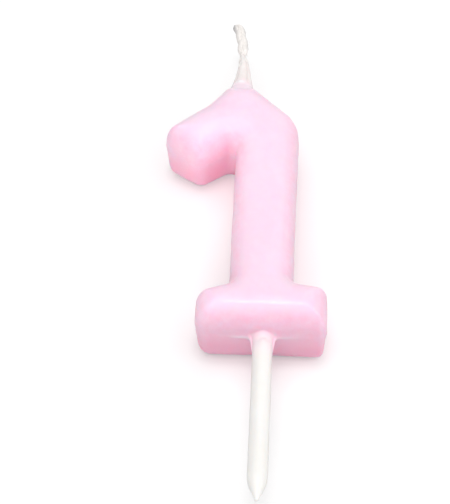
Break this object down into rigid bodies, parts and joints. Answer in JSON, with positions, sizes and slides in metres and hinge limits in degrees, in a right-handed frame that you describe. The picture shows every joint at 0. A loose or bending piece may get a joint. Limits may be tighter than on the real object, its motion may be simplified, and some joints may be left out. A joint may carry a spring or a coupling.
{
  "type": "number birthday candle",
  "caption": "Moulded wax birthday candle in the shape of the numeral one, with a braided wick at its apex and a pointed round pick under its foot.",
  "frame": {"origin": "on the pick's axis, where the pick leaves the wax under the numeral's foot, in the plane where the two mould halves met", "axes": "+Y from the foot towards the wick, along the pick's axis; +X to the numeral's right, seen from its front; +Z out of the numeral's front face, so the candle lies on its back"},
  "size_m": [0.0256, 0.0926, 0.0114],
  "materials": {
    "pink_wax": "waxy satin gloss",
    "clear_wax": "waxy gloss, translucent",
    "cotton": "matte",
    "white_plastic": "satin"
  },
  "bodies": {
    "root": {"wax_numeral": "pink_wax", "wick_root_wax": "clear_wax", "wick": "cotton", "pick": "white_plastic"}
  },
  "joints": []
}
